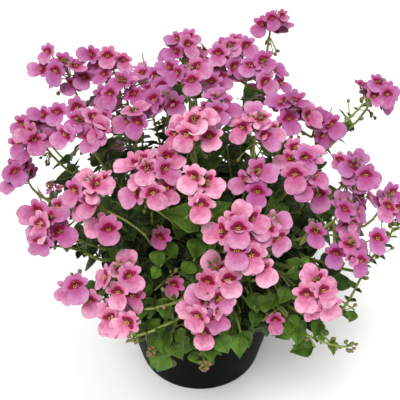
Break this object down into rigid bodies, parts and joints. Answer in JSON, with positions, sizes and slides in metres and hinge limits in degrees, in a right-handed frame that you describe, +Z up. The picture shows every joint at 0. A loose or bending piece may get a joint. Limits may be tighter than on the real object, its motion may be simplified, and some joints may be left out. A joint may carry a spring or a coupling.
{
  "type": "potted twinspur plant",
  "caption": "Bushy potted twinspur in full bloom: sprays of small five-lobed pink flowers and leafy stems over a plain black tapered nursery pot, for display or decoration",
  "frame": {"origin": "the middle of the flat underside of the pot, at the surface it stands on", "axes": "+Z is up along the axis of the pot, -Y is the front that faces the viewer, +X is the viewer's right"},
  "size_m": [0.2764, 0.271, 0.2819],
  "materials": {
    "pot": "matte black moulded plastic",
    "potting_mix": null,
    "leaf": null,
    "petal": null
  },
  "bodies": {
    "root": {"pot": "pot", "potting_mix": "potting_mix", "leafy_stem_01": "leaf", "leafy_stem_02": "leaf", "leafy_stem_03": "leaf", "leafy_stem_04": "leaf", "leafy_stem_05": "leaf", "leafy_stem_06": "leaf", "leafy_stem_07": "leaf", "leafy_stem_08": "leaf", "leafy_stem_09": "leaf", "leafy_stem_10": "leaf", "flower_spray_01": "petal", "flower_spray_02": "petal", "flower_spray_03": "petal", "flower_spray_04": "petal", "flower_spray_05": "petal", "flower_spray_06": "petal", "flower_spray_07": "petal", "flower_spray_08": "petal", "flower_spray_09": "petal", "flower_spray_10": "petal", "flower_spray_11": "petal", "flower_spray_12": "petal", "flower_spray_13": "petal", "flower_spray_14": "petal", "flower_spray_15": "petal", "flower_spray_16": "petal", "flower_spray_17": "petal", "flower_spray_18": "petal", "flower_spray_19": "petal", "flower_spray_20": "petal", "flower_spray_21": "petal", "flower_spray_22": "petal", "flower_spray_23": "petal", "flower_spray_24": "petal", "flower_spray_25": "petal", "flower_spray_26": "petal", "flower_spray_27": "petal", "flower_spray_28": "petal", "flower_spray_29": "petal", "flower_spray_30": "petal", "flower_spray_31": "petal", "flower_spray_32": "petal", "flower_spray_33": "petal", "flower_spray_34": "petal", "flower_spray_35": "petal", "flower_spray_36": "petal", "flower_spray_37": "petal", "flower_spray_38": "petal", "flower_spray_39": "petal", "flower_spray_40": "petal", "flower_spray_41": "petal", "flower_spray_42": "petal", "flower_spray_43": "petal", "flower_spray_44": "petal", "flower_spray_45": "petal", "flower_spray_46": "petal"}
  },
  "joints": []
}
